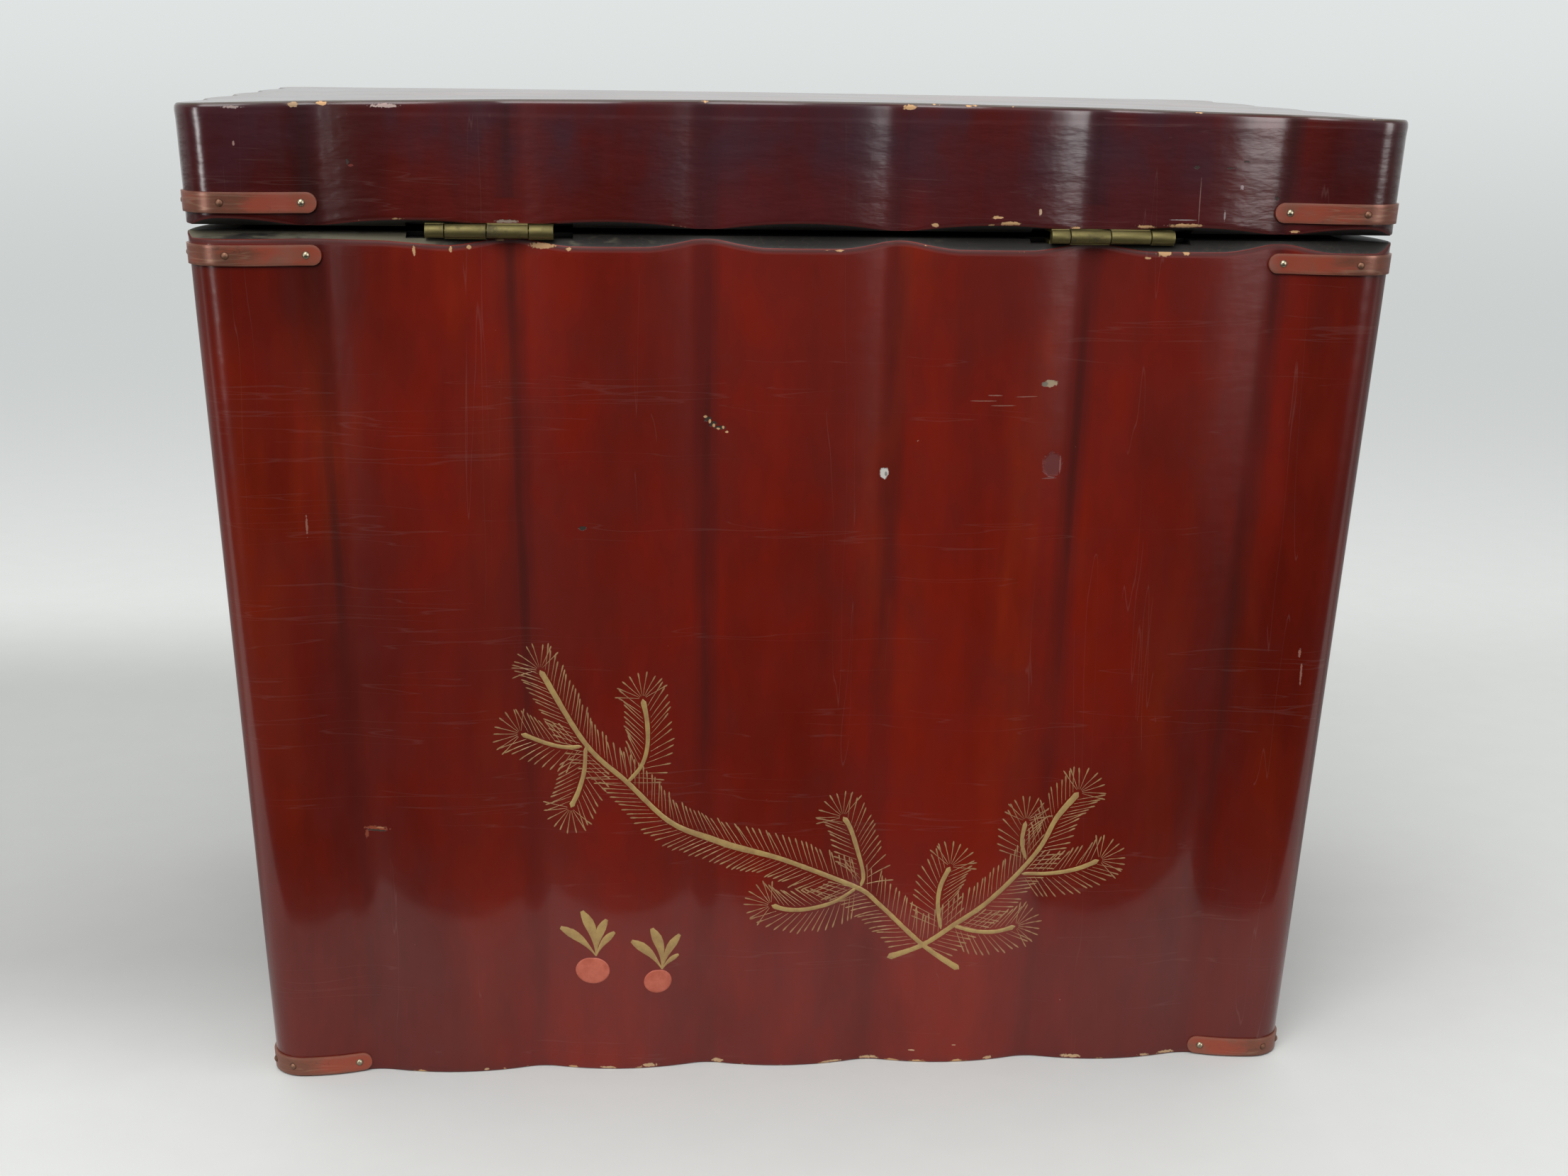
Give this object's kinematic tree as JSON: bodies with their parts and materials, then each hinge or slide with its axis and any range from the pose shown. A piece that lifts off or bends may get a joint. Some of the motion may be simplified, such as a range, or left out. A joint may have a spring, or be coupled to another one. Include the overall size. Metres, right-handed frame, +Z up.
{
  "type": "sewing box",
  "caption": "Flared, fluted red lacquer sewing box with a hinged lid, painted corner straps, a lift-out compartment tray and a front hook catch.",
  "frame": {"origin": "middle of the base, on the table", "axes": "+X along the hinged rear wall, +Y towards the rear wall with the hinges, +Z up"},
  "size_m": [0.3, 0.2071, 0.2546],
  "materials": {
    "body_lacquer": "glossy transparent red-brown lacquer on wood, darker in the valleys",
    "lid_lacquer": "glossy aubergine red lacquer on wood",
    "black_lacquer": "black-brown lacquer on wood",
    "tray_lacquer": "satin dark red lacquer on wood",
    "strap_paint": "terracotta red paint on thin sheet metal, worn to brown at the corners",
    "brass": "dull aged brass",
    "nail_brass": "dull domed brass nail heads"
  },
  "bodies": {
    "case": {"base_board": "black_lacquer", "body_bottom_strap_front_left": "strap_paint", "body_bottom_strap_front_right": "strap_paint", "body_bottom_strap_nails": "nail_brass", "body_bottom_strap_rear_left": "strap_paint", "body_bottom_strap_rear_right": "strap_paint", "body_top_strap_front_left": "strap_paint", "body_top_strap_front_right": "strap_paint", "body_top_strap_nails": "nail_brass", "body_top_strap_rear_left": "strap_paint", "body_top_strap_rear_right": "strap_paint", "catch_pivot_screw": "brass", "front_wall": "body_lacquer", "hinge_body_nails": "nail_brass", "left_hinge_body_leaf": "brass", "left_hinge_pin": "brass", "left_wall": "body_lacquer", "rear_wall": "body_lacquer", "right_hinge_body_leaf": "brass", "right_hinge_pin": "brass", "right_wall": "body_lacquer", "tray_ledge_front": "black_lacquer", "tray_ledge_left": "black_lacquer", "tray_ledge_rear": "black_lacquer", "tray_ledge_right": "black_lacquer"},
    "lid": {"catch_stud": "brass", "hinge_lid_nails": "nail_brass", "left_hinge_lid_leaf": "brass", "lid_front_wall": "lid_lacquer", "lid_left_wall": "lid_lacquer", "lid_rear_wall": "lid_lacquer", "lid_right_wall": "lid_lacquer", "lid_strap_front_left": "strap_paint", "lid_strap_front_right": "strap_paint", "lid_strap_nails": "nail_brass", "lid_strap_rear_left": "strap_paint", "lid_strap_rear_right": "strap_paint", "lid_top_panel": "lid_lacquer", "right_hinge_lid_leaf": "brass"},
    "tray": {"tray_cross_divider_1": "tray_lacquer", "tray_cross_divider_2": "tray_lacquer", "tray_floor": "tray_lacquer", "tray_front_wall": "tray_lacquer", "tray_left_wall": "tray_lacquer", "tray_long_divider": "tray_lacquer", "tray_rear_wall": "tray_lacquer", "tray_right_wall": "tray_lacquer"},
    "hook": {"catch_hook": "brass"}
  },
  "joints": [
    {"name": "lid_hinge", "type": "hinge", "parent": "case", "child": "lid", "pos_m": [0, 0.09958, 0.2229], "axis": [-1, 0, 0], "range_deg": [0, 115]},
    {"name": "tray_lift", "type": "slide", "parent": "case", "child": "tray", "axis": [0, 0, 1], "range_m": [0, 0.025]},
    {"name": "hook_swing", "type": "hinge", "parent": "case", "child": "hook", "pos_m": [0, -0.10031, 0.208], "axis": [0, -0.9993, -0.0384], "range_deg": [0, 180]}
  ]
}
